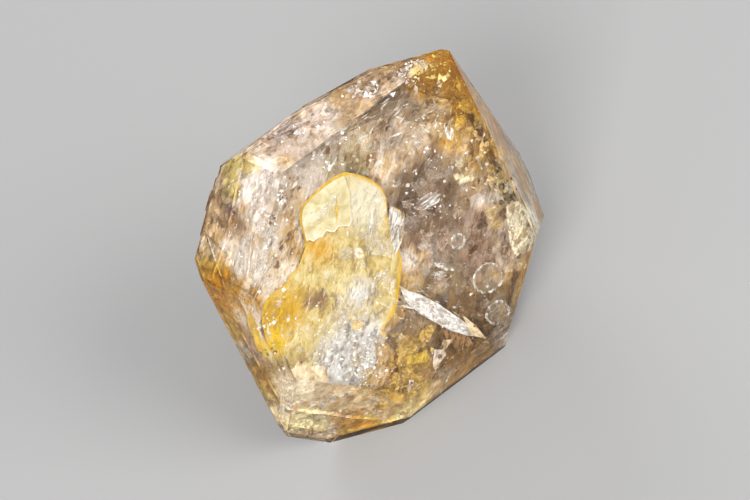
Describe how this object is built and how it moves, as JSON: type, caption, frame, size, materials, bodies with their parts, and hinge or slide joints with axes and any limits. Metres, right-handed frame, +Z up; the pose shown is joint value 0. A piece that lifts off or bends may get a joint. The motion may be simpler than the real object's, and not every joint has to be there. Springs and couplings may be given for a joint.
{
  "type": "herkimer diamond quartz crystal",
  "caption": "Doubly terminated clear quartz crystal with flat faces, amber stain and inner veils, lying on one of its end faces.",
  "frame": {"origin": "middle of the outline's base, on the surface that the crystal lies on", "axes": "+Z up, square to the end face that the crystal lies on; +X along the longest side of its box; -Y is the side of the large prism face"},
  "size_m": [0.0624, 0.041, 0.0567],
  "materials": {
    "quartz": "clear, smooth natural crystal faces with a glassy lustre, faintly smoky, with amber iron stain inside"
  },
  "bodies": {
    "root": {"quartz_crystal": "quartz"}
  },
  "joints": []
}
